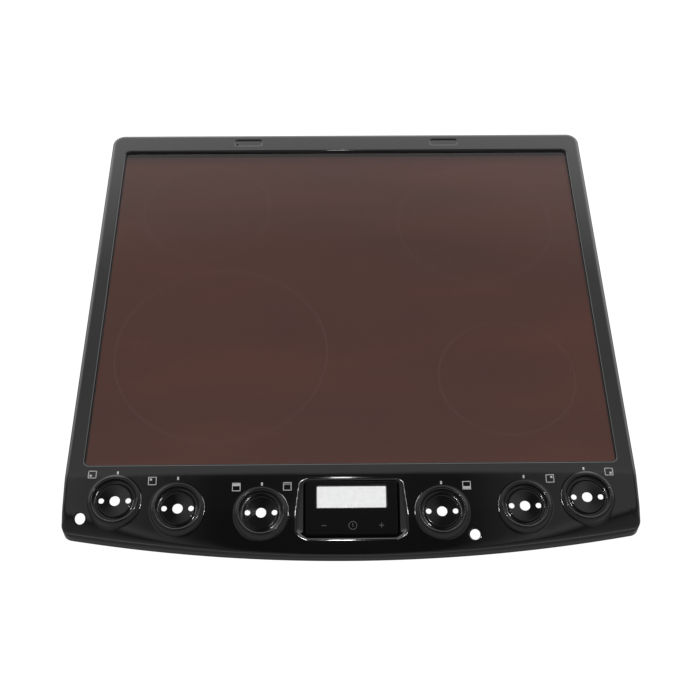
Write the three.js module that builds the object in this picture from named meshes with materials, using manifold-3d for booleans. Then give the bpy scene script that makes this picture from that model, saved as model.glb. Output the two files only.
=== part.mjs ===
import * as THREE from 'three';
import { mergeVertices } from 'three/addons/utils/BufferGeometryUtils.js';
import Module from 'manifold-3d';

const wasm = await Module();
wasm.setup();

// Frame pressing: plan size and section. X runs to the right, the fascia faces -Y.
const WIDTH = 600;
const REAR_Y = 296.5;
const FRONT_Y = -296.5;
const HEIGHT = 33.5;
const WALL = 1.4;
const BOW_RADIUS = 1650;
const REAR_CORNER = 15;
const FRONT_CORNER = 11;
const EDGE_ROUND = 4.5;
const SIDE_EASE = 0.5;
const RETURN_FLANGE = 8;
const GAP = 0.3;
const CUT = 60;

// Fascia section: where the slope starts, where it steepens and where it meets the front roll.
const FLAT_END_Y = -213.5;
const BEND = { y: -254.5, z: 24 };
const TOE = { y: -292.5, z: 13 };
const BEND_EASE = 6;
const ROLL_START_Z = 8;
const ROLL_SLOPE = THREE.MathUtils.degToRad(32);
const ROLL_RADIUS = 9;

// Glass opening.
const OPENING = { width: 562.5, depth: 466, y: 33.5, corner: 6 };
const LIP_BOTTOM = 30.9;
const LIP_ROUND = 1.1;

// Glass plate and the beads that hold it.
const GLASS = { overlap: 5, thickness: 4, top: 30.6, corner: 8 };
const SEAL = { width: 1.2, height: 0.9 };
const BOND = { width: 3, height: 0.9 };

// Knob dishes, in millimetres about each spindle axis.
const DISH_TILT = THREE.MathUtils.degToRad(11);
const DISHES = [
  { x: 94, y: -251.4 },
  { x: 180.6, y: -246.4 },
  { x: 246.2, y: -237.9 },
];
const DISH = {
  lift: 1.6,
  flank: 32.5,
  flankDrop: 8,
  crown: 24.4,
  rim: 22.9,
  crownWidth: [2.4, 0.9, -0.4],
  crownDrop: [1.6, 0.4, 0],
  grooveOuter: 22.0,
  grooveInner: 18.2,
  grooveDepth: 6.4,
  step: 17.4,
  stepDepth: 5.0,
  floorDepth: 5.8,
  rimDrop: 0.5,
  clearance: 12,
};
const SPINDLE_HOLE = 5.4;
const FIXING_HOLE = 3.0;
const FIXING_PITCH = 14;
const DISH_SEGMENTS = 24;

// Lamp holes beside the outer left dish and the inner right dish.
const LAMPS = [
  { x: -280.2, y: -256.1 },
  { x: 126.8, y: -275.7 },
];
const LAMP_HOLE = 5.3;

// Display recess, overlay panel and clear pane, measured along the panel's own slope.
const PANEL = { width: 95.2, length: 55, top: -219.9, z: 31.6, thickness: 1.6, corner: 3 };
const PANEL_TILT = THREE.MathUtils.degToRad(19);
const RECESS_MARGIN = 0.6;
const RECESS_FLARE = 7;
const RECESS_DEPTH = 12;
const WINDOW = { width: 73.3, length: 23.6, inset: 4.4 };
const LEDGE = 2.6;
const GASKET = { width: 1.9, thickness: 0.4 };
const RETAINER = { width: 1.3, thickness: 1.4, overlap: 0.7 };

// Rear rail recesses.
const EMBOSS = { x: 125.5, y: 281.5, length: 35, width: 11, depth: 1.3, corner: 3.5 };
const DRAIN = { radius: 1.4, inset: 2.9 };

// Weld studs, retaining strips, tabs and nuts.
const STUD_RADIUS = 2;
const STUD_END = 17;
const STRIP = { thickness: 1.2, top: 26.3, lip: 8, width: 13, rearWidth: 20, setback: 1, endGap: 8 };
const STRIP_HOLE = 2.5;
const TAB = { width: 18, thickness: 1.2, foot: 3, hole: 2.6, holeHeight: 9, heel: 5 };
const NUT = { flats: 7, height: 3.2, bore: 2.3 };
const SIDE_STUD_X = 291.3;
const FRONT_TAB_X = 139;
const FRONT_TAB_TOP = 24;
const FRONT_TAB_Y = -233.5;
const FRONT_LEG_Y = -247.5;
const REAR_STUD_Y = 281;
const REAR_LEG_Y = 291.5;
const REAR_TAB_X = 175;
const EARTH_X = 235;
const TAG = { radius: 4.6, thickness: 0.8, blade: 18, width: 6.3 };
const SECOND_LAYER = STRIP.top - STRIP.thickness - GAP;
const RECESS_FLOOR = -PANEL.thickness - GASKET.thickness - 2 * GAP;

// Stud positions: two on each side strip, four along the rear, two along the front, two for the front tabs.
const STUDS = [
  { x: -SIDE_STUD_X, y: 215 }, { x: -SIDE_STUD_X, y: -120 },
  { x: SIDE_STUD_X, y: 215 }, { x: SIDE_STUD_X, y: -120 },
  { x: -EARTH_X, y: REAR_STUD_Y }, { x: -REAR_TAB_X, y: REAR_STUD_Y },
  { x: REAR_TAB_X, y: REAR_STUD_Y }, { x: EARTH_X, y: REAR_STUD_Y },
  { x: -150, y: -208 }, { x: 150, y: -208 },
  { x: -FRONT_TAB_X, y: FRONT_TAB_Y }, { x: FRONT_TAB_X, y: FRONT_TAB_Y },
];

const COLOURS = {
  enamel: 0x18181a,
  glass: 0x50382f,
  silicone: 0x0c0c0d,
  overlay: 0x0a0a0b,
  pane: 0xe8ecec,
  gasket: 0x1c1c1c,
  plastic: 0x2a2a2c,
  zinc: 0xa9adb0,
  brass: 0xb08d4a,
};

function solid(geometry) {
  const bare = geometry.index ? geometry.toNonIndexed() : geometry.clone();
  bare.deleteAttribute('normal');
  bare.deleteAttribute('uv');
  const welded = mergeVertices(bare, 1e-4);
  return new wasm.Manifold(new wasm.Mesh({
    numProp: 3,
    vertProperties: new Float32Array(welded.attributes.position.array),
    triVerts: new Uint32Array(welded.index.array),
  }));
}

function toGeometry(body) {
  const mesh = body.getMesh();
  const geometry = new THREE.BufferGeometry();
  geometry.setAttribute('position', new THREE.BufferAttribute(new Float32Array(mesh.vertProperties), 3));
  geometry.setIndex(new THREE.BufferAttribute(new Uint32Array(mesh.triVerts), 1));
  return geometry;
}

function finish(name, body, colour) {
  const flat = toGeometry(body).toNonIndexed();
  flat.computeVertexNormals();
  const mesh = new THREE.Mesh(flat, new THREE.MeshStandardMaterial({ color: colour }));
  mesh.name = name;
  return mesh;
}

function unite(bodies) {
  return bodies.reduce((total, body) => total.add(body));
}

function box(x0, x1, y0, y1, z0, z1) {
  const geometry = new THREE.BoxGeometry(x1 - x0, y1 - y0, z1 - z0);
  geometry.translate((x0 + x1) / 2, (y0 + y1) / 2, (z0 + z1) / 2);
  return solid(geometry);
}

function drum(radius, z0, z1, x, y, segments = 20) {
  const geometry = new THREE.CylinderGeometry(radius, radius, z1 - z0, segments);
  geometry.rotateX(Math.PI / 2);
  geometry.translate(x, y, (z0 + z1) / 2);
  return solid(geometry);
}

function roundedRect(width, depth, corner) {
  const shape = new THREE.Shape();
  const x = width / 2 - corner;
  const y = depth / 2 - corner;
  shape.absarc(x, y, corner, 0, Math.PI / 2);
  shape.absarc(-x, y, corner, Math.PI / 2, Math.PI);
  shape.absarc(-x, -y, corner, Math.PI, 1.5 * Math.PI);
  shape.absarc(x, -y, corner, 1.5 * Math.PI, 2 * Math.PI);
  return shape;
}

function slab(shape, z0, z1, x = 0, y = 0, curveSegments = 6) {
  const geometry = new THREE.ExtrudeGeometry(shape, { depth: z1 - z0, bevelEnabled: false, curveSegments });
  geometry.translate(x, y, z0);
  return solid(geometry);
}

function openingSlab(grow, z0, z1) {
  const corner = Math.max(OPENING.corner + grow, 1);
  const shape = roundedRect(OPENING.width + 2 * grow, OPENING.depth + 2 * grow, corner);
  return slab(shape, z0, z1, 0, OPENING.y);
}

function openingRing(inner, outer, z0, z1) {
  return openingSlab(outer, z0, z1).subtract(openingSlab(inner, z0 - 1, z1 + 1));
}

// Height of the fascia's sloping face at a given y.
function fasciaHeight(y) {
  if (y >= FLAT_END_Y) return HEIGHT;
  if (y >= BEND.y) return HEIGHT - (HEIGHT - BEND.z) * (FLAT_END_Y - y) / (FLAT_END_Y - BEND.y);
  return BEND.z - (BEND.z - TOE.z) * (BEND.y - y) / (BEND.y - TOE.y);
}

// Plan outline: straight sides and rear, bowed front, all four corners rounded.
function planShape(inset) {
  const half = WIDTH / 2 - inset;
  const rear = REAR_Y - inset;
  const rearRadius = REAR_CORNER - inset;
  const frontRadius = FRONT_CORNER - inset;
  const bowY = FRONT_Y + BOW_RADIUS;
  const bow = BOW_RADIUS - inset;
  const cornerX = half - frontRadius;
  const cornerY = bowY - Math.sqrt((bow - frontRadius) ** 2 - cornerX ** 2);
  const lean = Math.atan2(cornerX, bowY - cornerY);
  const down = 1.5 * Math.PI;
  const points = [];
  const arc = (cx, cy, radius, from, to, steps) => {
    for (let i = 0; i < steps; i += 1) {
      const angle = from + (to - from) * i / (steps - 1);
      points.push(new THREE.Vector2(cx + radius * Math.cos(angle), cy + radius * Math.sin(angle)));
    }
  };
  arc(half - rearRadius, rear - rearRadius, rearRadius, 0, Math.PI / 2, 7);
  arc(rearRadius - half, rear - rearRadius, rearRadius, Math.PI / 2, Math.PI, 7);
  arc(-cornerX, cornerY, frontRadius, Math.PI, down - lean, 7);
  arc(0, bowY, bow, down - lean * 0.95, down + lean * 0.95, 25);
  arc(cornerX, cornerY, frontRadius, down + lean, 2 * Math.PI, 7);
  return new THREE.Shape(points);
}

// Plan outline raised to the rail top, its upper edge rounded.
function planBody(inset) {
  const round = EDGE_ROUND - inset;
  const geometry = new THREE.ExtrudeGeometry(planShape(inset + round), {
    depth: HEIGHT - inset + CUT - 2 * round,
    bevelEnabled: true,
    bevelThickness: round,
    bevelSize: round,
    bevelSegments: 3,
  });
  geometry.translate(0, 0, round - CUT);
  return solid(geometry);
}

// Side section swept across the width: flat rails, then the fascia slope running out past the front.
function sectionBody(inset) {
  const round = EDGE_ROUND - inset;
  const half = WIDTH / 2 + SIDE_EASE - inset;
  const beyond = FRONT_Y - CUT;
  const drop = (TOE.z - BEND.z) / (BEND.y - TOE.y);
  const shape = new THREE.Shape();
  shape.moveTo(REAR_Y + CUT, -CUT);
  shape.lineTo(REAR_Y + CUT, HEIGHT - inset);
  shape.lineTo(FLAT_END_Y + BEND_EASE, HEIGHT - inset);
  const slopeStart = FLAT_END_Y - BEND_EASE;
  shape.quadraticCurveTo(FLAT_END_Y, HEIGHT - inset, slopeStart, fasciaHeight(slopeStart) - inset);
  shape.lineTo(BEND.y + BEND_EASE, fasciaHeight(BEND.y + BEND_EASE) - inset);
  const steepStart = BEND.y - BEND_EASE;
  shape.quadraticCurveTo(BEND.y, BEND.z - inset, steepStart, fasciaHeight(steepStart) - inset);
  shape.lineTo(beyond, TOE.z + drop * (TOE.y - beyond) - inset);
  shape.lineTo(beyond, -CUT);
  const geometry = new THREE.ExtrudeGeometry(insetShape(shape, round), {
    depth: 2 * (half - round),
    bevelEnabled: true,
    bevelThickness: round,
    bevelSize: round,
    bevelSegments: 3,
    curveSegments: 4,
  });
  geometry.rotateX(Math.PI / 2);
  geometry.rotateZ(Math.PI / 2);
  geometry.translate(round - half, 0, 0);
  return solid(geometry);
}

// Front roll: a turned edge about the bow's own centre, so the rounding follows the bow.
function rollBody(inset) {
  const rim = BOW_RADIUS - inset;
  const points = [
    new THREE.Vector2(0, -CUT),
    new THREE.Vector2(rim, -CUT),
    new THREE.Vector2(rim, ROLL_START_Z),
  ];
  const radius = ROLL_RADIUS - inset;
  const sweep = Math.PI / 2 - ROLL_SLOPE;
  for (let i = 1; i <= 5; i += 1) {
    const angle = sweep * i / 5;
    const reach = rim - radius + radius * Math.cos(angle);
    points.push(new THREE.Vector2(reach, ROLL_START_Z + radius * Math.sin(angle)));
  }
  const last = points[points.length - 1];
  const run = 2 * CUT;
  points.push(new THREE.Vector2(last.x - run, last.y + run * Math.tan(ROLL_SLOPE)));
  points.push(new THREE.Vector2(0, last.y + run * Math.tan(ROLL_SLOPE)));
  const geometry = new THREE.LatheGeometry(points, 200);
  geometry.rotateX(Math.PI / 2);
  geometry.translate(0, FRONT_Y + BOW_RADIUS, 0);
  return solid(geometry);
}

// Shrinks a closed polygon by moving each side inwards, so that a bevel can grow it back.
function insetShape(shape, distance) {
  const points = shape.getPoints(4);
  const turn = THREE.ShapeUtils.isClockWise(points) ? -1 : 1;
  const moved = points.map((point, i) => {
    const before = points[(i + points.length - 1) % points.length];
    const after = points[(i + 1) % points.length];
    const a = point.clone().sub(before).normalize();
    const b = after.clone().sub(point).normalize();
    const normalA = new THREE.Vector2(-a.y, a.x).multiplyScalar(turn);
    const normalB = new THREE.Vector2(-b.y, b.x).multiplyScalar(turn);
    const scale = distance / (1 + normalA.dot(normalB));
    return point.clone().add(normalA.add(normalB).multiplyScalar(scale));
  });
  return new THREE.Shape(moved);
}

function blank(inset) {
  return planBody(inset).intersect(sectionBody(inset)).intersect(rollBody(inset));
}

// Moves a body built about its own upright axis to the seat of a knob dish.
function seatDish(geometry, dish, side) {
  geometry.rotateX(Math.PI / 2);
  geometry.rotateX(DISH_TILT);
  geometry.translate(side * dish.x, dish.y, fasciaHeight(dish.y) + DISH.lift);
  return solid(geometry);
}

function lathe(pairs) {
  return new THREE.LatheGeometry(pairs.map(([r, z]) => new THREE.Vector2(r, z)), DISH_SEGMENTS);
}

// Raised ring round a dish. The inset copy is the matching hollow on the underside.
function dishBoss(inset) {
  const d = DISH;
  return lathe([
    [0, -CUT / 2], [d.flank - inset, -CUT / 2], [d.flank - inset, -d.flankDrop - inset],
    ...d.crownWidth.map((width, i) => [d.crown + width - inset, -d.crownDrop[i] - inset]),
    [0, -inset],
  ]);
}

// Space inside a dish. The grown copy is the tub that carries it underneath.
function dishSpace(grow) {
  const d = DISH;
  return lathe([
    [0, -d.floorDepth - grow], [d.step, -d.stepDepth - grow], [d.grooveInner - grow, -d.grooveDepth - grow],
    [d.grooveOuter + grow, -d.grooveDepth - grow], [d.rim + grow, -d.rimDrop],
    [d.rim + grow, d.clearance], [0, d.clearance],
  ]);
}

function panelShape(grow) {
  return roundedRect(PANEL.width + 2 * grow, PANEL.length + 2 * grow, PANEL.corner + Math.max(grow, 0));
}

// Seats a body drawn about the overlay's centre, with z = 0 on the overlay's face.
function seatPanel(geometry) {
  geometry.translate(0, -PANEL.length / 2, 0);
  geometry.rotateX(PANEL_TILT);
  geometry.translate(0, PANEL.top, PANEL.z);
  return solid(geometry);
}

function panelSlab(shape, z0, z1) {
  const settings = { depth: z1 - z0, bevelEnabled: false, curveSegments: 4 };
  const geometry = new THREE.ExtrudeGeometry(shape, settings);
  geometry.translate(0, 0, z0);
  return seatPanel(geometry);
}

function windowShape(grow) {
  const shape = roundedRect(WINDOW.width + 2 * grow, WINDOW.length + 2 * grow, 1);
  const y = PANEL.length / 2 - WINDOW.inset - WINDOW.length / 2;
  return new THREE.Shape(shape.getPoints(3).map((point) => new THREE.Vector2(point.x, point.y + y)));
}

// Recess with drafted walls; its floor lies below the overlay and its gasket.
function recessSpace(grow) {
  const floor = RECESS_FLOOR - grow;
  const geometry = new THREE.ExtrudeGeometry(panelShape(RECESS_MARGIN + grow), {
    depth: CUT / 2,
    bevelEnabled: true,
    bevelThickness: RECESS_DEPTH,
    bevelSize: RECESS_FLARE,
    bevelSegments: 1,
    curveSegments: 4,
  });
  geometry.translate(0, 0, floor + RECESS_DEPTH);
  return seatPanel(geometry);
}

function eachDish(build) {
  return DISHES.flatMap((dish) => [-1, 1].map((side) => build(dish, side)));
}

function dishHoles() {
  return unite(eachDish((dish, side) => unite([-FIXING_PITCH, 0, FIXING_PITCH].map((x) => {
    const radius = x ? FIXING_HOLE : SPINDLE_HOLE;
    const geometry = new THREE.CylinderGeometry(radius, radius, CUT, x ? 14 : 20);
    geometry.translate(x, 0, 0);
    return seatDish(geometry, dish, side);
  }))));
}

function lampHoles() {
  return unite(LAMPS.map((lamp) => drum(LAMP_HOLE, 0, CUT, lamp.x, lamp.y)));
}

function rearRecesses(grow) {
  const shape = roundedRect(EMBOSS.length + 2 * grow, EMBOSS.width + 2 * grow, EMBOSS.corner + grow);
  return unite([-1, 1].map((side) => (
    slab(shape, HEIGHT - EMBOSS.depth - grow, HEIGHT + 1, side * EMBOSS.x, EMBOSS.y, 3)
  )));
}

function drainHole() {
  const x = -EMBOSS.x - EMBOSS.length / 2 + DRAIN.inset;
  const y = EMBOSS.y - EMBOSS.width / 2 + DRAIN.inset;
  return drum(DRAIN.radius, HEIGHT - EMBOSS.depth - 2 * WALL, CUT, x, y, 10);
}

function displayCutout() {
  return panelSlab(panelShape(-LEDGE), -CUT / 2, CUT / 2);
}

// Underside of whatever a nut clamps on a given stud.
function nutTop(x, y) {
  if (y === FRONT_TAB_Y) return FRONT_TAB_TOP - TAB.thickness - GAP;
  if (Math.abs(x) === REAR_TAB_X) return SECOND_LAYER - TAB.thickness - GAP;
  if (x === -EARTH_X) return SECOND_LAYER - TAG.thickness - GAP;
  return SECOND_LAYER;
}

function studs() {
  return unite(STUDS.map(({ x, y }) => drum(STUD_RADIUS, STUD_END, fasciaHeight(y) - WALL / 2, x, y, 12)));
}

// Return flange along the foot of the sides and the rear, which the top stands on.
function returnFlange() {
  const ring = slab(planShape(WALL / 2), 0, WALL, 0, 0)
    .subtract(slab(planShape(RETURN_FLANGE), -1, WALL + 1, 0, 0));
  return ring.subtract(box(-WIDTH, WIDTH, FRONT_Y - CUT, BEND.y + 30, -1, WALL + 1));
}

function openingLip() {
  return openingRing(0, WALL, LIP_BOTTOM, HEIGHT - WALL / 2);
}

// Rounds the upper edge of the opening.
function openingRound() {
  const shape = roundedRect(OPENING.width, OPENING.depth, OPENING.corner);
  const geometry = new THREE.ExtrudeGeometry(shape, {
    depth: 1,
    bevelEnabled: true,
    bevelThickness: LIP_ROUND,
    bevelSize: LIP_ROUND,
    bevelSegments: 1,
    curveSegments: 6,
  });
  geometry.translate(0, OPENING.y, HEIGHT);
  return solid(geometry);
}

function topFrame() {
  const outside = unite([blank(0), ...eachDish((dish, side) => (
    seatDish(dishBoss(0), dish, side).intersect(bossLimit(0))
  ))]);
  const carved = unite([
    recessSpace(0), rearRecesses(0), ...eachDish((dish, side) => seatDish(dishSpace(0), dish, side)),
  ]);
  const hollow = unite([blank(WALL), ...eachDish((dish, side) => (
    seatDish(dishBoss(WALL), dish, side).intersect(bossLimit(WALL))
  ))]);
  const tubs = unite([
    recessSpace(WALL), rearRecesses(WALL), ...eachDish((dish, side) => seatDish(dishSpace(WALL), dish, side)),
  ]);
  const below = box(-WIDTH, WIDTH, -WIDTH, WIDTH, -2 * CUT, 0);
  return outside
    .subtract(carved)
    .subtract(hollow.subtract(tubs))
    .add(openingLip())
    .add(studs().intersect(outside))
    .add(returnFlange())
    .subtract(openingSlab(0, -CUT, CUT))
    .subtract(openingRound())
    .subtract(dishHoles())
    .subtract(lampHoles())
    .subtract(drainHole())
    .subtract(displayCutout())
    .subtract(below);
}

// Keeps a boss above the base plane and inside the skirt.
function bossLimit(inset) {
  const fascia = box(-WIDTH, WIDTH, -WIDTH, FLAT_END_Y + 2, 0, CUT);
  return slab(planShape(inset), -CUT, CUT, 0, 0).intersect(fascia);
}

function glassPlate() {
  const grow = GLASS.overlap;
  return slab(
    roundedRect(OPENING.width + 2 * grow, OPENING.depth + 2 * grow, GLASS.corner),
    GLASS.top - GLASS.thickness, GLASS.top, 0, OPENING.y,
  );
}

function glassSeal() {
  const outer = -GAP;
  return openingRing(outer - SEAL.width, outer, GLASS.top + GAP, GLASS.top + GAP + SEAL.height);
}

function glassBond() {
  const inner = WALL + GAP;
  return openingRing(inner, inner + BOND.width, GLASS.top + GAP, GLASS.top + GAP + BOND.height);
}

function overlay() {
  const face = panelSlab(panelShape(0), -PANEL.thickness, 0);
  return face.subtract(panelSlab(windowShape(GAP), -CUT, CUT));
}

function pane() {
  return panelSlab(windowShape(0), -PANEL.thickness, 0);
}

function displayGasket() {
  const top = -PANEL.thickness - GAP;
  const ring = panelSlab(panelShape(-GAP), top - GASKET.thickness, top);
  return ring.subtract(panelSlab(panelShape(-GAP - GASKET.width), -CUT, CUT));
}

function windowRetainer() {
  const top = -PANEL.thickness - GAP;
  const ring = panelSlab(windowShape(RETAINER.width), top - RETAINER.thickness, top);
  return ring.subtract(panelSlab(windowShape(-RETAINER.overlap), -CUT, CUT));
}

function stripHoles() {
  return unite(STUDS.map(({ x, y }) => drum(STRIP_HOLE, 0, CUT, x, y, 14)));
}

// Flat strip under the edge of the glass with a stiffening lip turned down.
function strip(x0, x1, y0, y1, lip) {
  const top = STRIP.top;
  const plate = box(x0, x1, y0, y1, top - STRIP.thickness, top);
  const edge = box(...lip, top - STRIP.lip, top);
  return plate.add(edge).subtract(stripHoles());
}

function sideStrip(side) {
  const inner = OPENING.width / 2 + STRIP.setback;
  const outer = inner + STRIP.width;
  const y0 = OPENING.y - OPENING.depth / 2 + STRIP.endGap;
  const y1 = OPENING.y + OPENING.depth / 2 - STRIP.endGap;
  const xs = side > 0 ? [inner, outer] : [-outer, -inner];
  const lip = side > 0
    ? [inner, inner + STRIP.thickness, y0, y1]
    : [-inner - STRIP.thickness, -inner, y0, y1];
  return strip(...xs, y0, y1, lip);
}

function endStrip(front) {
  const half = OPENING.width / 2 + 3 * STRIP.setback;
  const away = OPENING.depth / 2 + STRIP.setback;
  const edge = front ? OPENING.y - away : OPENING.y + away;
  const reach = front ? edge - STRIP.width : edge + STRIP.rearWidth;
  const lip = front
    ? [-half, half, edge - STRIP.thickness, edge]
    : [-half, half, edge, edge + STRIP.thickness];
  return strip(-half, half, Math.min(edge, reach), Math.max(edge, reach), lip);
}

// Locating tab: a foot clamped by a nut and an upright leg with a screw hole.
function tab(x, y, legY, top) {
  const half = TAB.width / 2;
  const back = y - Math.sign(legY - y) * TAB.heel;
  const foot = box(x - half, x + half, Math.min(back, legY), Math.max(back, legY), top - TAB.thickness, top);
  const leg = box(x - half, x + half, legY - TAB.thickness / 2, legY + TAB.thickness / 2, TAB.foot, top);
  const hole = new THREE.CylinderGeometry(TAB.hole, TAB.hole, 10, 16);
  hole.translate(x, legY, TAB.holeHeight);
  return foot.add(leg).subtract(drum(STRIP_HOLE, 0, CUT, x, y, 14)).subtract(solid(hole));
}

function nut(x, y, top) {
  const radius = NUT.flats / 2 / Math.cos(Math.PI / 6);
  return drum(radius, top - NUT.height, top, x, y, 6).subtract(drum(NUT.bore, 0, CUT, x, y, 12));
}

// Ring terminal with a push-on blade.
function earthTag(x, y, top) {
  const low = top - TAG.thickness;
  const blade = box(x, x + TAG.blade, y - TAG.width / 2, y + TAG.width / 2, low, top);
  const ring = drum(TAG.radius, low, top, x, y, 18).add(blade);
  return ring.subtract(drum(STRIP_HOLE, 0, CUT, x, y, 14));
}

const group = new THREE.Group();
group.name = 'ceramic_hob_top';

const parts = [
  ['top_frame', topFrame(), COLOURS.enamel],
  ['ceramic_glass', glassPlate(), COLOURS.glass],
  ['glass_seal', glassSeal(), COLOURS.silicone],
  ['glass_bond', glassBond(), COLOURS.silicone],
  ['display_overlay', overlay(), COLOURS.overlay],
  ['display_window', pane(), COLOURS.pane],
  ['display_gasket', displayGasket(), COLOURS.gasket],
  ['window_retainer', windowRetainer(), COLOURS.plastic],
  ['glass_rail_left', sideStrip(-1), COLOURS.zinc],
  ['glass_rail_right', sideStrip(1), COLOURS.zinc],
  ['glass_rail_rear', endStrip(false), COLOURS.zinc],
  ['glass_rail_front', endStrip(true), COLOURS.zinc],
  ['rear_bracket_left', tab(-REAR_TAB_X, REAR_STUD_Y, REAR_LEG_Y, SECOND_LAYER), COLOURS.zinc],
  ['rear_bracket_right', tab(REAR_TAB_X, REAR_STUD_Y, REAR_LEG_Y, SECOND_LAYER), COLOURS.zinc],
  ['front_bracket_left', tab(-FRONT_TAB_X, FRONT_TAB_Y, FRONT_LEG_Y, FRONT_TAB_TOP), COLOURS.zinc],
  ['front_bracket_right', tab(FRONT_TAB_X, FRONT_TAB_Y, FRONT_LEG_Y, FRONT_TAB_TOP), COLOURS.zinc],
  ['earth_tag', earthTag(-EARTH_X, REAR_STUD_Y, SECOND_LAYER), COLOURS.brass],
];

STUDS.forEach(({ x, y }, i) => {
  const name = `nut_${String(i + 1).padStart(2, '0')}`;
  parts.push([name, nut(x, y, nutTop(x, y)), COLOURS.zinc]);
});

parts.forEach(([name, body, colour]) => group.add(finish(name, body, colour)));

export default group;
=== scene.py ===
import math

import bmesh
import bpy
import numpy as np
from bpy.props import FloatProperty, FloatVectorProperty, PointerProperty
from mathutils import Euler, Matrix, Vector
from mathutils.geometry import delaunay_2d_cdt
from mathutils.kdtree import KDTree


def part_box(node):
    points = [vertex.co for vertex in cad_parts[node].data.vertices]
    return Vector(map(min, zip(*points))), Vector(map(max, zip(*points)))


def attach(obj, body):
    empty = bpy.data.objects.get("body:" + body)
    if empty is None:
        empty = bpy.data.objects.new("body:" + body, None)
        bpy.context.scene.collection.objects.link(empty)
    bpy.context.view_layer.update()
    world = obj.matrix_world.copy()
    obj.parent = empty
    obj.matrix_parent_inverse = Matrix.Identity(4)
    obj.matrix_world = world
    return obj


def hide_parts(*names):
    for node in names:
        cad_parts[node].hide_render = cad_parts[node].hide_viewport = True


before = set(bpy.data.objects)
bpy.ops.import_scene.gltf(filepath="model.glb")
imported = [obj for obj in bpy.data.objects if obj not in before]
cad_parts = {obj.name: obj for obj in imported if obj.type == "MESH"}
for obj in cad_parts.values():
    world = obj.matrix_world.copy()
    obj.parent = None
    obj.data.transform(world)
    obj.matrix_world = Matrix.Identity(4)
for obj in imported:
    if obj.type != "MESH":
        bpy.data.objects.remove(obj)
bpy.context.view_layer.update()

bl_info = {
    "name": "Ceramic Hob Top",
    "version": (1, 0, 0),
    "blender": (4, 5, 0),
    "location": "View3D > Sidebar > Hob Top",
    "description": "Builds the fine pieces, finishes and studio of an enamelled ceramic hob top",
    "category": "Add Mesh",
}

MM = 0.001
BODY = "root"
FOOT, TOP = (c[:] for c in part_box("top_frame"))
GLASS_LOW, GLASS_HIGH = (c[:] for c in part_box("ceramic_glass"))

# Lengths below are in millimetres, in the part's own frame.
HALF_WIDTH = FOOT[0] / -MM
REAR = TOP[1] / MM
FRONT = FOOT[1] / MM
RAIL = 33.5
BOW_RADIUS = 1650.0
BOW_Y = FRONT + BOW_RADIUS
REAR_CORNER = 15.0
FRONT_CORNER = 11.0
FLAT_END = -213.5
BEND = -254.5
SLOPES = (9.5 / 41.0, 11.0 / 38.0)
EASE = 6.0
WALL = 1.25
EDGE_ROUND = 4.5
SIDE_BLEND = 12.0
ROLL_START = 8.0
ROLL_RADIUS = 9.0
ROLL_SLOPE = math.radians(32)
ROLL_BLEND = 2.5
OPENING = {"x": 281.25, "y": 233.0, "middle": 33.5, "corner": 6.0, "round": 1.4}
LIP_FOOT = 30.9
DISH_TILT = math.radians(11)
DISH_LIFT = 1.545
DISH_SEATS = [(s * x, y) for x, y in ((94.0, -251.4), (180.6, -246.4), (246.2, -237.9)) for s in (-1, 1)]
DISH_REACH = 33.0
CROWN = 24.0
CROWN_SHARE = 0.8
CROWN_BLEND = 1.4
# Section of a dish: radius from its axis, and height over its crown.
DISH_PROFILE = (
    (0, -5.8), (16.4, -5.05), (17.2, -5.0), (17.7, -5.35), (18.2, -6.2), (18.9, -6.45), (21.0, -6.45),
    (21.7, -6.15), (22.1, -5.3), (22.45, -2.4), (22.75, -0.95), (23.1, -0.35), (23.5, -0.08), (24.0, 0),
    (24.5, -0.12), (25.1, -0.33), (26.0, -0.85), (26.9, -1.6), (32.5, -7.8),
)
SPINDLE = 5.4
FIXING = 3.0
FIXING_PITCH = 14.0
LAMPS = ((-280.2, -256.1), (126.8, -275.7))
LAMP = 5.3
PANEL = {"x": 47.6, "length": 55.0, "top": -219.9, "z": 31.6, "thickness": 1.6, "corner": 3.0}
PANEL_TILT = math.radians(19)
RECESS = {
    "margin": 0.6, "floor": 2.6, "wall": 12.0 / 7.0, "corner": 3.6, "ledge": 3.2,
    "flare": 2.0, "run_out": 1.45, "reach": 16.0, "blend": 1.3,
}
LEDGE = {
    "x": PANEL["x"] - RECESS["ledge"] + RECESS["margin"],
    "y": PANEL["length"] / 2 - RECESS["ledge"] + RECESS["margin"],
    "corner": 1.2,
}
PANE = {"x": 36.65, "length": 23.6, "inset": 4.4, "gap": 0.3}
EMBOSS = {"x": 125.5, "y": 281.5, "half_x": 17.5, "half_y": 5.5, "corner": 3.5, "depth": 1.3}
DRAIN = (-140.1, 278.9, 1.4)
# Printed cooking-zone rings: middle and radius.
ZONES = ((-172.5, 166.0, 77.0), (155.0, 144.0, 93.0), (-144.6, -50.5, 119.6), (175.0, -86.5, 76.0))


# ---------------------------------------------------------------- surface rules

def soft_min(a, b, width):
    share = np.clip(0.5 + 0.5 * (b - a) / width, 0, 1)
    return b * (1 - share) + a * share - width * share * (1 - share)


def soft_max(a, b, width):
    return -soft_min(-a, -b, width)


def ramp(distance, ease):
    eased = (distance + ease) ** 2 / (4 * ease)
    return np.where(distance <= -ease, 0, np.where(distance >= ease, distance, eased))


def round_drop(distance, radius):
    inside = np.clip(radius - distance, 0, radius)
    return radius - np.sqrt(radius * radius - inside * inside)


def rect_distance(x, y, half_x, half_y, corner):
    """Signed distance from a rounded rectangle about the origin, positive outside."""
    qx = np.abs(x) - half_x + corner
    qy = np.abs(y) - half_y + corner
    outer = np.hypot(np.maximum(qx, 0), np.maximum(qy, 0))
    return outer + np.minimum(np.maximum(qx, qy), 0) - corner


def bow_distance(x, y):
    return BOW_RADIUS - np.hypot(x, y - BOW_Y)


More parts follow.
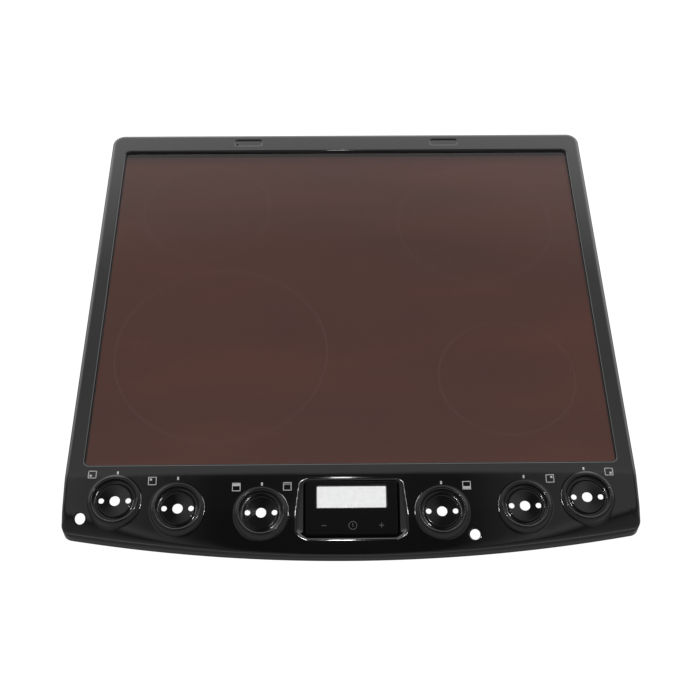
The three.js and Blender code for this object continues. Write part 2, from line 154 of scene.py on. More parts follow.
def front_corner():
    x = HALF_WIDTH - FRONT_CORNER
    reach = BOW_RADIUS - FRONT_CORNER
    return x, BOW_Y - math.sqrt(reach * reach - x * x)


def edge_distance(x, y):
    """Distance inwards from the plan outline."""
    ax = np.abs(x)
    distance = np.minimum(np.minimum(HALF_WIDTH - ax, REAR - y), bow_distance(x, y))
    rear_x, rear_y = HALF_WIDTH - REAR_CORNER, REAR - REAR_CORNER
    at_rear = (ax > rear_x) & (y > rear_y)
    distance = np.where(at_rear, REAR_CORNER - np.hypot(ax - rear_x, y - rear_y), distance)
    cx, cy = front_corner()
    lean = math.atan2(cx, BOW_Y - cy)
    at_front = (ax > cx) & (y < cy) & ((ax - cx) * math.cos(lean) > -(cy - y) * -math.sin(lean))
    return np.where(at_front, FRONT_CORNER - np.hypot(ax - cx, y - cy), distance)


def slope_height(y):
    """The flat rails and the two slopes of the fascia, with their bends eased."""
    first = ramp(FLAT_END - y, EASE / 2)
    second = ramp(BEND - y, EASE)
    return RAIL - SLOPES[0] * first - (SLOPES[1] - SLOPES[0]) * second


def roll_height(distance):
    """The rolled front, a given distance behind the bowed edge."""
    sweep = math.pi / 2 - ROLL_SLOPE
    reach = ROLL_RADIUS * (1 - math.cos(sweep))
    turn = np.arccos(np.clip(1 - np.clip(distance, 0, reach) / ROLL_RADIUS, -1, 1))
    return ROLL_START + ROLL_RADIUS * np.sin(turn) + np.maximum(distance - reach, 0) * math.tan(ROLL_SLOPE)


def panel_drop(y):
    """Distance down the slope of the overlay from its upper edge."""
    return (PANEL["top"] - y) / math.cos(PANEL_TILT)


def recess_distance(x, y):
    half = PANEL["length"] / 2 + RECESS["margin"]
    side = PANEL["x"] + RECESS["margin"]
    across = np.abs(x)
    across = np.where(across > side, side + (across - side) / RECESS["flare"], across)
    along = panel_drop(y) - PANEL["length"] / 2
    along = np.where(along > half, half + (along - half) / RECESS["run_out"], along)
    return rect_distance(across, along, side, half, RECESS["corner"])


def base_height(x, y):
    """The pressing before its dishes, recess and opening are struck."""
    distance = edge_distance(x, y)
    height = soft_min(slope_height(y), roll_height(bow_distance(x, y)), ROLL_BLEND)
    side_share = np.clip((bow_distance(x, y) - distance) / SIDE_BLEND, 0, 1)
    return height - side_share * round_drop(distance, EDGE_ROUND)


def seat_radius(across, along):
    """Distance from a dish's axis, measured in its tilted plane."""
    return np.hypot(across, along / math.cos(DISH_TILT))


def height_at(x, y):
    """The outer face of the finished pressing."""
    x, y = np.asarray(x, float), np.asarray(y, float)
    height = base_height(x, y)
    for seat_x, seat_y in DISH_SEATS:
        radius = seat_radius(x - seat_x, y - seat_y)
        seat_z = float(slope_height(np.array(seat_y))) + DISH_LIFT
        plane = seat_z + (y - seat_y) * math.tan(DISH_TILT)
        profile = np.interp(radius, *zip(*DISH_PROFILE))
        raised = soft_max(height, plane + profile, CROWN_BLEND)
        crown = plane + profile * math.cos(DISH_TILT)
        share = np.clip((radius - CROWN) / CROWN_SHARE, 0, 1)
        struck = np.where(radius < CROWN, crown, crown * (1 - share) + raised * share)
        height = np.where(radius < DISH_REACH, struck, height)
    recess = recess_distance(x, y)
    floor = PANEL["z"] - panel_drop(y) * math.sin(PANEL_TILT) - RECESS["floor"] / math.cos(PANEL_TILT)
    wall = floor + np.maximum(recess, 0) * RECESS["wall"]
    height = np.where(recess < RECESS["reach"], soft_min(height, wall, RECESS["blend"]), height)
    for side in (-1, 1):
        struck = rect_distance(
            x - side * EMBOSS["x"], y - EMBOSS["y"], EMBOSS["half_x"], EMBOSS["half_y"], EMBOSS["corner"],
        )
        share = np.clip((0.3 - struck) / 1.5, 0, 1)
        height = height - EMBOSS["depth"] * share * share * (3 - 2 * share)
    for lamp_x, lamp_y in LAMPS:
        height = height - round_drop(np.hypot(x - lamp_x, y - lamp_y) - LAMP, 1.0)
    opening = rect_distance(x, y - OPENING["middle"], OPENING["x"], OPENING["y"], OPENING["corner"])
    return height - round_drop(np.maximum(opening, 0), OPENING["round"])


def settle(x, y):
    """Plan points to points on the pressing, with each dish struck along its own tilted axis."""
    z = height_at(x, y)
    y = y.copy()
    for seat_x, seat_y in DISH_SEATS:
        radius = seat_radius(x - seat_x, y - seat_y)
        depth = np.interp(radius, *zip(*DISH_PROFILE))
        y = np.where(radius < CROWN, y - depth * math.sin(DISH_TILT), y)
    return np.column_stack((x, y, z))


# ---------------------------------------------------------------- plan curves

def circle(x, y, radius, count, squash=1.0):
    angle = np.arange(count) * 2 * math.pi / count
    return np.column_stack((x + radius * np.cos(angle), y + squash * radius * np.sin(angle)))


def arc(cx, cy, radius, start, end, count):
    angle = np.linspace(start, end, count)
    out = np.column_stack((np.cos(angle), np.sin(angle)))
    return np.column_stack((cx, cy)) + radius * out, out


def evened(points, normals, spacing):
    """Splits the long straight runs of a closed curve, and keeps its outward normals."""
    kept, turned = [], []
    for i in range(len(points)):
        a, b = points[i], points[(i + 1) % len(points)]
        na, nb = normals[i], normals[(i + 1) % len(points)]
        steps = max(1, int(round(np.linalg.norm(b - a) / spacing)))
        if np.linalg.norm(b - a) < 1e-6:
            continue
        for k in range(steps):
            kept.append(a + (b - a) * k / steps)
            normal = na + (nb - na) * k / steps
            turned.append(normal / np.linalg.norm(normal))
    return np.array(kept), np.array(turned)


def rounded_rect(half_x, half_y, corner, spacing, corner_steps=9, middle=(0, 0)):
    x, y = half_x - corner, half_y - corner
    quarter = math.pi / 2
    parts = [
        arc(sx * x + middle[0], sy * y + middle[1], corner, start, start + quarter, corner_steps)
        for sx, sy, start in ((1, 1, 0), (-1, 1, quarter), (-1, -1, 2 * quarter), (1, -1, 3 * quarter))
    ]
    return evened(np.concatenate([p[0] for p in parts]), np.concatenate([p[1] for p in parts]), spacing)


def plan_outline(spacing):
    cx, cy = front_corner()
    lean = math.atan2(cx, BOW_Y - cy)
    down = 1.5 * math.pi
    rear_x, rear_y = HALF_WIDTH - REAR_CORNER, REAR - REAR_CORNER
    parts = [
        arc(rear_x, rear_y, REAR_CORNER, 0, math.pi / 2, 13),
        arc(-rear_x, rear_y, REAR_CORNER, math.pi / 2, math.pi, 13),
        arc(-cx, cy, FRONT_CORNER, math.pi, down - lean, 15),
        arc(0, BOW_Y, BOW_RADIUS, down - lean * 0.99, down + lean * 0.99, 140),
        arc(cx, cy, FRONT_CORNER, down + lean, 2 * math.pi, 15),
    ]
    return evened(np.concatenate([p[0] for p in parts]), np.concatenate([p[1] for p in parts]), spacing)


class Sheet:
    """Plan points and the closed loops among them, to be triangulated once."""

    def __init__(self):
        self.points = []
        self.edges = []

    def loop(self, points):
        first = len(self.points)
        count = len(points)
        self.points.extend(map(tuple, points))
        self.edges.extend((first + i, first + (i + 1) % count) for i in range(count))
        return range(first, first + count)

    def fill(self, points, clear):
        tree = KDTree(len(self.points))
        for i, point in enumerate(self.points):
            tree.insert((*point, 0), i)
        tree.balance()
        for point in points:
            if tree.find((*point, 0))[2] > clear:
                self.points.append(tuple(point))

    def triangles(self, keep):
        verts, _, faces, _, _, _ = delaunay_2d_cdt([Vector(p) for p in self.points], self.edges, [], 0, 1e-6)
        plan = np.array([v[:] for v in verts])
        faces = np.array([f[:] for f in faces])
        kept = keep(*plan[faces].mean(axis=1).T)
        return plan, faces[kept]


def add_mesh(name, points, faces, finish=None, smooth_angle=40.0):
    mesh = bpy.data.meshes.new(name)
    mesh.from_pydata([tuple(c * MM for c in p) for p in points], [], [tuple(map(int, f)) for f in faces])
    mesh.validate()
    piece = bpy.data.objects.new(name, mesh)
    bpy.context.scene.collection.objects.link(piece)
    if finish:
        mesh.materials.append(finish)
    soften(mesh, smooth_angle)
    return piece


def soften(mesh, angle):
    mesh.polygons.foreach_set("use_smooth", [True] * len(mesh.polygons))
    mesh.set_sharp_from_angle(angle=math.radians(angle))
    mesh.update()


def bake_modifiers(piece, smooth_angle=40.0):
    """Turns a piece and its modifiers into one plain mesh."""
    made = bpy.data.meshes.new_from_object(piece.evaluated_get(bpy.context.evaluated_depsgraph_get()))
    piece.modifiers.clear()
    old = piece.data
    piece.data = made
    made.name = piece.name
    bpy.data.meshes.remove(old)
    soften(made, smooth_angle)
    return piece


def place(piece, slot, *nodes):
    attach(piece, BODY)
    if nodes:
        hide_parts(*nodes)
    return piece


def plate(name, loops, rows, finish, turn=None, smooth_angle=30.0):
    """A flat piece with holes.

    loops are (points, normals) pairs, the outline first. Every normal points away from its loop's middle.
    rows are (inset, height) pairs from top to foot.
    """
    points, faces, rings = [], [], []
    for inset, z in rows:
        row = []
        for k, (curve, normals) in enumerate(loops):
            sign = -1 if k == 0 else 1
            moved = curve + sign * inset * normals
            first = len(points)
            points.extend((px, py, z) for px, py in moved)
            row.append(range(first, first + len(curve)))
        rings.append(row)
    for upper, lower in zip(rings, rings[1:]):
        for k, (a, b) in enumerate(zip(upper, lower)):
            n = len(a)
            for i in range(n):
                j = (i + 1) % n
                quad = (a[i], b[i], b[j], a[j])
                faces.append(quad if k == 0 else quad[::-1])
    for row, upward in ((rings[0], True), (rings[-1], False)):
        sheet = Sheet()
        order = []
        for ring in row:
            sheet.loop([points[i][:2] for i in ring])
            order.extend(ring)
        outer = np.array([points[i][:2] for i in row[0]])
        holes = [np.array([points[i][:2] for i in ring]) for ring in row[1:]]

        def keep(x, y, outer=outer, holes=holes):
            inside = in_loop(x, y, outer)
            for hole in holes:
                inside &= ~in_loop(x, y, hole)
            return inside

        _, caps = sheet.triangles(keep)
        for tri in caps:
            tri = tuple(order[i] for i in tri)
            faces.append(tri if upward else tri[::-1])
    piece = add_mesh(name, points, faces, finish, smooth_angle)
    for face in piece.data.polygons:
        if abs(face.normal.z) > 0.9999:
            face.use_smooth = False
    if turn is not None:
        piece.data.transform(turn)
    return piece


def in_loop(x, y, loop):
    inside = np.zeros(len(x), bool)
    nxt = np.roll(loop, -1, axis=0)
    for (ax, ay), (bx, by) in zip(loop, nxt):
        crosses = (ay > y) != (by > y)
        at = ax + (y - ay) * (bx - ax) / (by - ay if by != ay else 1e-12)
        inside ^= crosses & (x < at)
    return inside


# ---------------------------------------------------------------- shader groups

def new_group(name, inputs, outputs, kind="ShaderNodeTree"):
    """A node group with named sockets, and its input and output nodes."""
    group = bpy.data.node_groups.new(name, kind)
    for label, what, value in inputs:
        socket = group.interface.new_socket(label, in_out="INPUT", socket_type="NodeSocket" + what)
        if value is not None:
            socket.default_value = value
    for label, what in outputs:
        group.interface.new_socket(label, in_out="OUTPUT", socket_type="NodeSocket" + what)
    return group, group.nodes.new("NodeGroupInput"), group.nodes.new("NodeGroupOutput")


def feed(tree, socket, value):
    """Links a socket to another socket, or sets it to a plain value."""
    if hasattr(value, "node"):
        tree.links.new(value, socket)
    else:
        socket.default_value = value


def math_node(tree, operation, *values, kind="ShaderNodeMath", output=0):
    node = tree.nodes.new(kind)
    node.operation = operation
    for socket, value in zip(node.inputs, values):
        feed(tree, socket, value)
    return node.outputs[output]


def vector_node(tree, operation, *values, output=0):
    return math_node(tree, operation, *values, kind="ShaderNodeVectorMath", output=output)


def ranged(tree, value, low, high, start=0.0, end=1.0):
    """low where value is at start, changing to high at end."""
    node = tree.nodes.new("ShaderNodeMapRange")
    for label, number in (("From Min", start), ("From Max", end), ("To Min", low), ("To Max", high)):
        node.inputs[label].default_value = number
    tree.links.new(value, node.inputs["Value"])
    return node.outputs["Result"]


def noise(tree, at, scale, detail=2.0, distortion=0.0):
    node = tree.nodes.new("ShaderNodeTexNoise")
    values = {"Vector": at, "Scale": scale, "Detail": detail, "Distortion": distortion}
    for label, value in values.items():
        feed(tree, node.inputs[label], value)
    return node.outputs["Fac"]


def ring_group():
    """A printed ring: 1 on a circle's line and 0 elsewhere."""
    group, start, end = new_group(
        "PrintedRing",
        (("Place", "Vector", None), ("Middle", "Vector", None),
         ("Radius", "Float", 0.09), ("Line", "Float", 0.001)),
        (("Mask", "Float"),),
    )
    offset = vector_node(group, "SUBTRACT", start.outputs["Place"], start.outputs["Middle"])
    length = vector_node(group, "LENGTH", vector_node(group, "MULTIPLY", offset, (1, 1, 0)), output="Value")
    beyond = math_node(group, "SUBTRACT", length, start.outputs["Radius"])
    gap = math_node(group, "ABSOLUTE", beyond)
    edge = math_node(group, "DIVIDE", gap, start.outputs["Line"])
    mask = math_node(group, "SUBTRACT", 1.5, edge)
    mask = math_node(group, "MINIMUM", math_node(group, "MAXIMUM", mask, 0.0), 1.0)
    group.links.new(mask, end.inputs["Mask"])
    return group


def peel_group():
    """Fired enamel: slow waves and fine orange peel for bump, and a faint clouding for roughness."""
    group, start, end = new_group(
        "FiredEnamel",
        (("Place", "Vector", None), ("Wave", "Float", 22.0), ("Peel", "Float", 420.0)),
        (("Height", "Float"), ("Cloud", "Float"), ("Speck", "Float")),
    )
    wave = noise(group, start.outputs["Place"], start.outputs["Wave"])
    peel = noise(group, start.outputs["Place"], start.outputs["Peel"], 3.0)
    height = math_node(group, "ADD", math_node(group, "MULTIPLY", wave, 0.7),
                       math_node(group, "MULTIPLY", peel, 0.05))
    group.links.new(height, end.inputs["Height"])
    group.links.new(wave, end.inputs["Cloud"])
    speck = group.nodes.new("ShaderNodeTexVoronoi")
    speck.inputs["Scale"].default_value = 900.0
    group.links.new(start.outputs["Place"], speck.inputs["Vector"])
    dot = math_node(group, "LESS_THAN", speck.outputs["Distance"], 0.12)
    group.links.new(dot, end.inputs["Speck"])
    return group


def grain_group():
    """Brushed or rolled metal: long streaks along one axis."""
    group, start, end = new_group(
        "RolledGrain",
        (("Place", "Vector", None), ("Stretch", "Vector", (40.0, 900.0, 900.0))),
        (("Streak", "Float"), ("Blotch", "Float")),
    )
    scaled = vector_node(group, "MULTIPLY", start.outputs["Place"], start.outputs["Stretch"])
    group.links.new(noise(group, scaled, 1.0, 3.0), end.inputs["Streak"])
    group.links.new(noise(group, start.outputs["Place"], 60.0), end.inputs["Blotch"])
    return group


def shared(name, maker):
    return bpy.data.node_groups.get(name) or maker()


class Finish:
    """A material with its shader, and short ways to feed it."""

    def __init__(self, name, colour, roughness, metallic=0.0, **sockets):
        self.material = bpy.data.materials.new(name + "_finish")
        self.material.use_nodes = True
        self.tree = self.material.node_tree
        self.shader = self.tree.nodes["Principled BSDF"]
        self.shader.inputs["Base Color"].default_value = (*colour, 1)
        self.shader.inputs["Roughness"].default_value = roughness
        self.shader.inputs["Metallic"].default_value = metallic
        for label, value in sockets.items():
            self.shader.inputs[label.replace("_", " ")].default_value = value
        self.place = self.tree.nodes.new("ShaderNodeTexCoord").outputs["Object"]

    def group(self, tree, **values):
        node = self.tree.nodes.new("ShaderNodeGroup")
        node.node_tree = tree
        self.tree.links.new(self.place, node.inputs["Place"])
        for label, value in values.items():
            node.inputs[label].default_value = value
        return node.outputs

    def blend(self, mask, low, high, target):
        """Feeds target with a value or colour between low and high by the mask."""
        if isinstance(low, float):
            mixed = ranged(self.tree, mask, low, high)
        else:
            node = self.tree.nodes.new("ShaderNodeMix")
            node.data_type = "RGBA"
            self.tree.links.new(mask, node.inputs["Factor"])
            for socket, value in zip((node.inputs[6], node.inputs[7]), (low, high)):
                feed(self.tree, socket, value if hasattr(value, "node") else (*value, 1))
            mixed = node.outputs[2]
        self.tree.links.new(mixed, self.shader.inputs[target])
        return mixed

    def bump(self, height, strength, distance):
        node = self.tree.nodes.new("ShaderNodeBump")
        node.inputs["Strength"].default_value = strength
        node.inputs["Distance"].default_value = distance
        self.tree.links.new(height, node.inputs["Height"])
        self.tree.links.new(node.outputs["Normal"], self.shader.inputs["Normal"])


def settings():
    return bpy.context.scene.hob_top


def enamel_finish():
    """Black fired enamel under a glossy glaze."""
    props = settings().enamel
    finish = Finish("enamel", props.colour, props.roughness, Coat_Weight=props.coat, Coat_Roughness=0.04)
    out = finish.group(shared("FiredEnamel", peel_group))
    finish.blend(out["Cloud"], props.roughness * 0.85, props.roughness * 1.15, "Roughness")
    speckled = tuple(min(1, c * 2.2 + 0.01) for c in props.colour)
    finish.blend(out["Speck"], tuple(props.colour), speckled, "Base Color")
    finish.bump(out["Height"], 0.25, 0.0004)
    return finish.material


def glass_finish():
    """Brown glass-ceramic: drawn-out tint bands, printed rings, and dimples on the lower face only."""
    props = settings().glass
    finish = Finish("glass_ceramic", props.colour, 0.03, Transmission_Weight=1.0, IOR=1.5)
    stretch = finish.tree.nodes.new("ShaderNodeMapping")
    stretch.inputs["Location"].default_value = (0.3, 0.1, 0)
    stretch.inputs["Scale"].default_value = (1.5, 6.0, 1.0)
    finish.tree.links.new(finish.place, stretch.inputs["Vector"])
    cloud = noise(finish.tree, stretch.outputs["Vector"], 2.2, 3.0, 0.6)
    red, green, blue = props.colour
    mixed = finish.blend(cloud, (red * 0.66, green * 0.88, blue * 0.92),
                         (red * 1.34, green * 1.12, blue * 1.08), "Base Color")
    mask = None
    for x, y, radius in ZONES:
        ring = finish.group(shared("PrintedRing", ring_group), Middle=(x * MM, y * MM, 0), Radius=radius * MM,
                            Line=props.ring_line)["Mask"]
        mask = ring if mask is None else math_node(finish.tree, "MAXIMUM", mask, ring)
    mask = math_node(finish.tree, "MULTIPLY", mask, props.ring_strength)
    finish.blend(mask, mixed, tuple(props.ring_colour), "Base Color")
    dimples = finish.tree.nodes.new("ShaderNodeTexVoronoi")
    dimples.voronoi_dimensions = "2D"
    dimples.inputs["Scale"].default_value = 380.0
    dimples.inputs["Randomness"].default_value = 0.12
    finish.tree.links.new(finish.place, dimples.inputs["Vector"])
    position = finish.tree.nodes.new("ShaderNodeSeparateXYZ")
    finish.tree.links.new(finish.place, position.inputs[0])
    below = math_node(finish.tree, "LESS_THAN", position.outputs["Z"], (GLASS_LOW[2] + GLASS_HIGH[2]) / 2)
    finish.bump(math_node(finish.tree, "MULTIPLY", dimples.outputs["Distance"], below), 0.6, 0.0008)
    return finish.material


def plain_finish(name, colour, roughness, scale, **sockets):
    """Moulded or poured material with a faint skin texture."""
    finish = Finish(name, colour, roughness, **sockets)
    skin = noise(finish.tree, finish.place, scale, 4.0)
    finish.blend(skin, max(0.0, roughness - 0.05), roughness + 0.05, "Roughness")
    dark, light = (tuple(c * share for c in colour) for share in (0.92, 1.08))
    finish.blend(skin, dark, light, "Base Color")
    finish.bump(skin, 0.12, 0.0002)
    return finish.material


def metal_finish(name, colour, roughness, stretch):
    """Plated or rolled metal, streaked along one axis."""
    finish = Finish(name, colour, roughness, metallic=1.0)
    out = finish.group(shared("RolledGrain", grain_group), Stretch=stretch)
    dark, light = (tuple(min(1, c * share) for c in colour) for share in (0.86, 1.12))
    finish.blend(out["Blotch"], dark, light, "Base Color")
    finish.blend(out["Streak"], roughness - 0.07, roughness + 0.1, "Roughness")
    finish.bump(out["Streak"], 0.15, 0.0002)
    return finish.material


MAKERS = {
    "enamel": enamel_finish,
    "glass_ceramic": glass_finish,
    "silicone": lambda: plain_finish("silicone", (0.012, 0.012, 0.013), 0.45, 300.0),
    "overlay": lambda: plain_finish("overlay", (0.011, 0.011, 0.0112), 0.09, 500.0, Coat_Weight=0.3),
    "pane": lambda: plain_finish(
        "pane", (0.86, 0.865, 0.865), 0.05, 200.0, Transmission_Weight=1.0, IOR=1.45,
    ),
    "gasket": lambda: plain_finish("gasket", (0.03, 0.03, 0.03), 0.85, 900.0),
    "retainer": lambda: plain_finish("retainer", (0.04, 0.04, 0.042), 0.5, 700.0),
    "zinc_steel": lambda: metal_finish("zinc_steel", (0.62, 0.63, 0.64), 0.36, (40.0, 900.0, 900.0)),
    "nut_steel": lambda: metal_finish("nut_steel", (0.55, 0.56, 0.57), 0.3, (900.0, 900.0, 60.0)),
    "brass": lambda: metal_finish("brass", (0.72, 0.53, 0.25), 0.32, (60.0, 900.0, 900.0)),
    "white_print": lambda: plain_finish("white_print", (0.9, 0.9, 0.9), 0.4, 800.0),
    "grey_print": lambda: plain_finish("grey_print", (0.22, 0.22, 0.23), 0.4, 800.0),
}
FINISHED = {}


def material(name):
    """Each finish by its slot name, made on first use."""
    if name not in FINISHED:
        FINISHED[name] = MAKERS[name]()
    return FINISHED[name]


# ---------------------------------------------------------------- pieces

# Loops of plan points that follow each edge of the pressing, as distances from it. A dish's are radii.
OUTLINE_STEP = 5.0
EDGE_INSETS = (0.3, 0.8, 1.5, 2.4, 3.4, 4.6, 6.2, 8.4)
LIP_OUTSETS = (0.1, 0.25, 0.5, 0.8, 1.1, 1.4, 2.2, 3.4)
DISH_RINGS = (
    10.2, 12.2, 14.4, 16.4, 17.2, 17.45, 17.7, 17.95, 18.2, 18.5, 18.9, 21.0, 21.4, 21.7, 21.9, 22.1, 22.3,
    22.45, 22.6, 22.75, 22.9, 23.1, 23.3, 23.5, 23.75, 24.0, 24.25, 24.5, 24.8, 25.1, 25.5, 26.0, 26.45, 26.9,
    27.8, 29.0, 30.4, 31.8,
)
RECESS_OUTSETS = (0.0, 0.25, 0.55, 1.0, 1.6, 2.2, 2.8, 3.4, 4.0, 4.6, 5.2, 5.8, 6.5, 7.4, 8.6)
EMBOSS_OUTSETS = (-1.5, -1.2, -0.9, -0.6, -0.3, 0.0, 0.3, 0.8)
LAMP_OUTSETS = (0.0, 0.2, 0.5, 1.0, 2.0)
# Points that fill the flats between the loops.
FASCIA = {
    "x": 292, "front": FRONT + 6, "rear": -196, "step_x": 3.5, "step_y": 3.0, "from_edge": 9, "clear": 1.6,
    "pocket": 17,
}
REAR_RAIL = {"x": 290, "rows": (274.0, 279.0, 284.0), "step": 5.0, "clear": 2.0}


def pressing_sheet():
    """Plan points of the pressing, denser wherever it bends."""
    sheet = Sheet()
    outline, outward = plan_outline(OUTLINE_STEP)
    rim = sheet.loop(outline)
    for inset in EDGE_INSETS:
        sheet.loop(outline - outward * inset)
    opening, away = rounded_rect(
        OPENING["x"], OPENING["y"], OPENING["corner"], 5.0, 9, (0, OPENING["middle"]),
    )
    lip = sheet.loop(opening)
    for outset in LIP_OUTSETS:
        sheet.loop(opening + away * outset)
    tilt = math.cos(DISH_TILT)
    for x, y in DISH_SEATS:
        for step in (-1, 0, 1):
            radius = FIXING if step else SPINDLE
            sheet.loop(circle(x + step * FIXING_PITCH, y, radius, 20 if step else 36, tilt))
        for radius in DISH_RINGS:
            sheet.loop(circle(x, y, radius, 84, tilt))
    floor, side = rounded_rect(
        PANEL["x"] + RECESS["margin"], PANEL["length"] / 2 + RECESS["margin"], RECESS["corner"], 2.5, 8,
    )
    for outset in RECESS_OUTSETS:
        sheet.loop(on_panel(floor + side * outset))
    ledge, _ = rounded_rect(LEDGE["x"], LEDGE["y"], LEDGE["corner"], 4.0, 4)
    sheet.loop(on_panel(ledge))
    for at in (-1, 1):
        struck, side = rounded_rect(
            EMBOSS["half_x"], EMBOSS["half_y"], EMBOSS["corner"], 2.0, 7, (at * EMBOSS["x"], EMBOSS["y"]),
        )
        for outset in EMBOSS_OUTSETS:
            sheet.loop(struck + side * outset)
    sheet.loop(circle(*DRAIN, 14))
    for x, y in LAMPS:
        for outset in LAMP_OUTSETS:
            sheet.loop(circle(x, y, LAMP + outset, 40))
    rows = np.arange(FASCIA["front"], FASCIA["rear"], FASCIA["step_y"])
    columns = np.arange(-FASCIA["x"], FASCIA["x"], FASCIA["step_x"])
    shift = FASCIA["step_x"] / 2
    grid = np.array([(x + (row % 2) * shift, y) for row, y in enumerate(rows) for x in columns])
    grid = grid[edge_distance(grid[:, 0], grid[:, 1]) > FASCIA["from_edge"]]
    sheet.fill([p for p in grid if not in_pocket(*p)], FASCIA["clear"])
    columns = np.arange(-REAR_RAIL["x"], REAR_RAIL["x"] + 1, REAR_RAIL["step"])
    sheet.fill([(x, y) for x in columns for y in REAR_RAIL["rows"]], REAR_RAIL["clear"])
    return sheet, rim, lip


def in_pocket(x, y):
    """True on the floors of the dishes and the recess, which need no filling points."""
    if recess_distance(np.array(x), np.array(y)) < 0:
        return True
    return any(math.hypot(x - sx, y - sy) < FASCIA["pocket"] for sx, sy in DISH_SEATS)


def on_panel(points):
    """Points drawn about the overlay's middle, laid into the plan, with the side and foot walls flared."""
    across = np.maximum(np.abs(points[:, 0]) - PANEL["x"] - RECESS["margin"], 0)
    below = np.maximum(-points[:, 1] - PANEL["length"] / 2 - RECESS["margin"], 0)
    drop = PANEL["length"] / 2 - points[:, 1] + below * (RECESS["run_out"] - 1)
    x = points[:, 0] + np.sign(points[:, 0]) * across * (RECESS["flare"] - 1)
    return np.column_stack((x, PANEL["top"] - drop * math.cos(PANEL_TILT)))


HOLE_SHARE = {"dish": 0.985, "lamp": 0.995, "drain": 0.97}


def is_steel(x, y):
    """True off every opening. A hole's radius is taken a little small, as its edge is a polygon."""
    keep = rect_distance(x, y - OPENING["middle"], OPENING["x"], OPENING["y"], OPENING["corner"]) > 0
    drop = panel_drop(y) - PANEL["length"] / 2
    keep &= rect_distance(x, drop, LEDGE["x"], LEDGE["y"], LEDGE["corner"]) > 0
    for sx, sy in DISH_SEATS:
        for step in (-1, 0, 1):
            hole = FIXING if step else SPINDLE
            keep &= seat_radius(x - sx - step * FIXING_PITCH, y - sy) > hole * HOLE_SHARE["dish"]
    for lx, ly in LAMPS:
        keep &= np.hypot(x - lx, y - ly) > LAMP * HOLE_SHARE["lamp"]
    return keep & (np.hypot(x - DRAIN[0], y - DRAIN[1]) > DRAIN[2] * HOLE_SHARE["drain"])


# The skirt's rings from the rim down, as (height, inset), and the insets of the hem turned in at its foot.
SKIRT_RINGS = ((12, 0), (7, 0), (3, 0), (0.8, 0), (0.25, 0.2), (0.0, 0.8))
SKIRT_EVEN = 13.0
HEM_INSETS = (3.5, 7.7, 8.0)
HEM_LIFT = 0.25
HEM_FRONT = BEND + 30


def build_pressing():
    """The pressed sheet, its skirt, the hem turned in at the sides and rear, and the lip of the opening."""
    sheet, rim, lip = pressing_sheet()
    plan, faces = sheet.triangles(is_steel)
    points = list(map(tuple, settle(plan[:, 0], plan[:, 1])))
    faces = [tuple(f) for f in faces]
    outline, outward = plan_outline(OUTLINE_STEP)
    count = len(outline)
    last = list(rim)
    for foot, inset in SKIRT_RINGS:
        ring = []
        for i in range(count):
            top_z = points[rim[i]][2]
            z = foot if foot < 1 else min(foot, top_z * foot / SKIRT_EVEN)
            x, y = outline[i] - outward[i] * inset
            ring.append(len(points))
            points.append((x, y, z))
        for i in range(count):
            j = (i + 1) % count
            faces.append((last[i], ring[i], ring[j], last[j]))
        last = ring
    hem = [i for i in range(count) if outline[i][1] > HEM_FRONT]
    inner = dict(zip(hem, (last[i] for i in hem)))
    for inset in HEM_INSETS:
        step = {}
        for i in hem:
            x, y = outline[i] - outward[i] * inset
            step[i] = len(points)
            points.append((x, y, HEM_LIFT if inset == HEM_INSETS[-1] else 0.0))
        for i in hem:
            j = (i + 1) % count
            if j in step:
                faces.append((inner[i], step[i], step[j], inner[j]))
        inner = step
    opening = np.array([points[i][:2] for i in lip])
    foot = []
    for x, y in opening:
        foot.append(len(points))
        points.append((x, y, LIP_FOOT))
    for i in range(len(opening)):
        j = (i + 1) % len(opening)
        faces.append((lip[i], lip[j], foot[j], foot[i]))
    piece = add_mesh("enamelled_pressing", points, faces, material("enamel"), 60)
    wall = piece.modifiers.new("wall", "SOLIDIFY")
    wall.thickness = WALL * MM
    wall.offset = -1
    wall.use_rim = True
    return bake_modifiers(piece, 50)


class HOB_OT_pressing(bpy.types.Operator):
    """Builds the enamelled steel pressing with its dishes, recesses and rolled edges"""

    bl_idname = "hob.pressing"
    bl_label = "Enamelled Pressing"

    def execute(self, context):
        place(build_pressing(), "enamel", "top_frame")
        return {"FINISHED"}


GLASS_CORNER = 8.0
# Each bead: its piece, the node it stands for, its outer corner and its width.
BEADS = (("seal_bead", "glass_seal", 5.5, 1.2), ("bond_bead", "glass_bond", 9.0, 3.0))


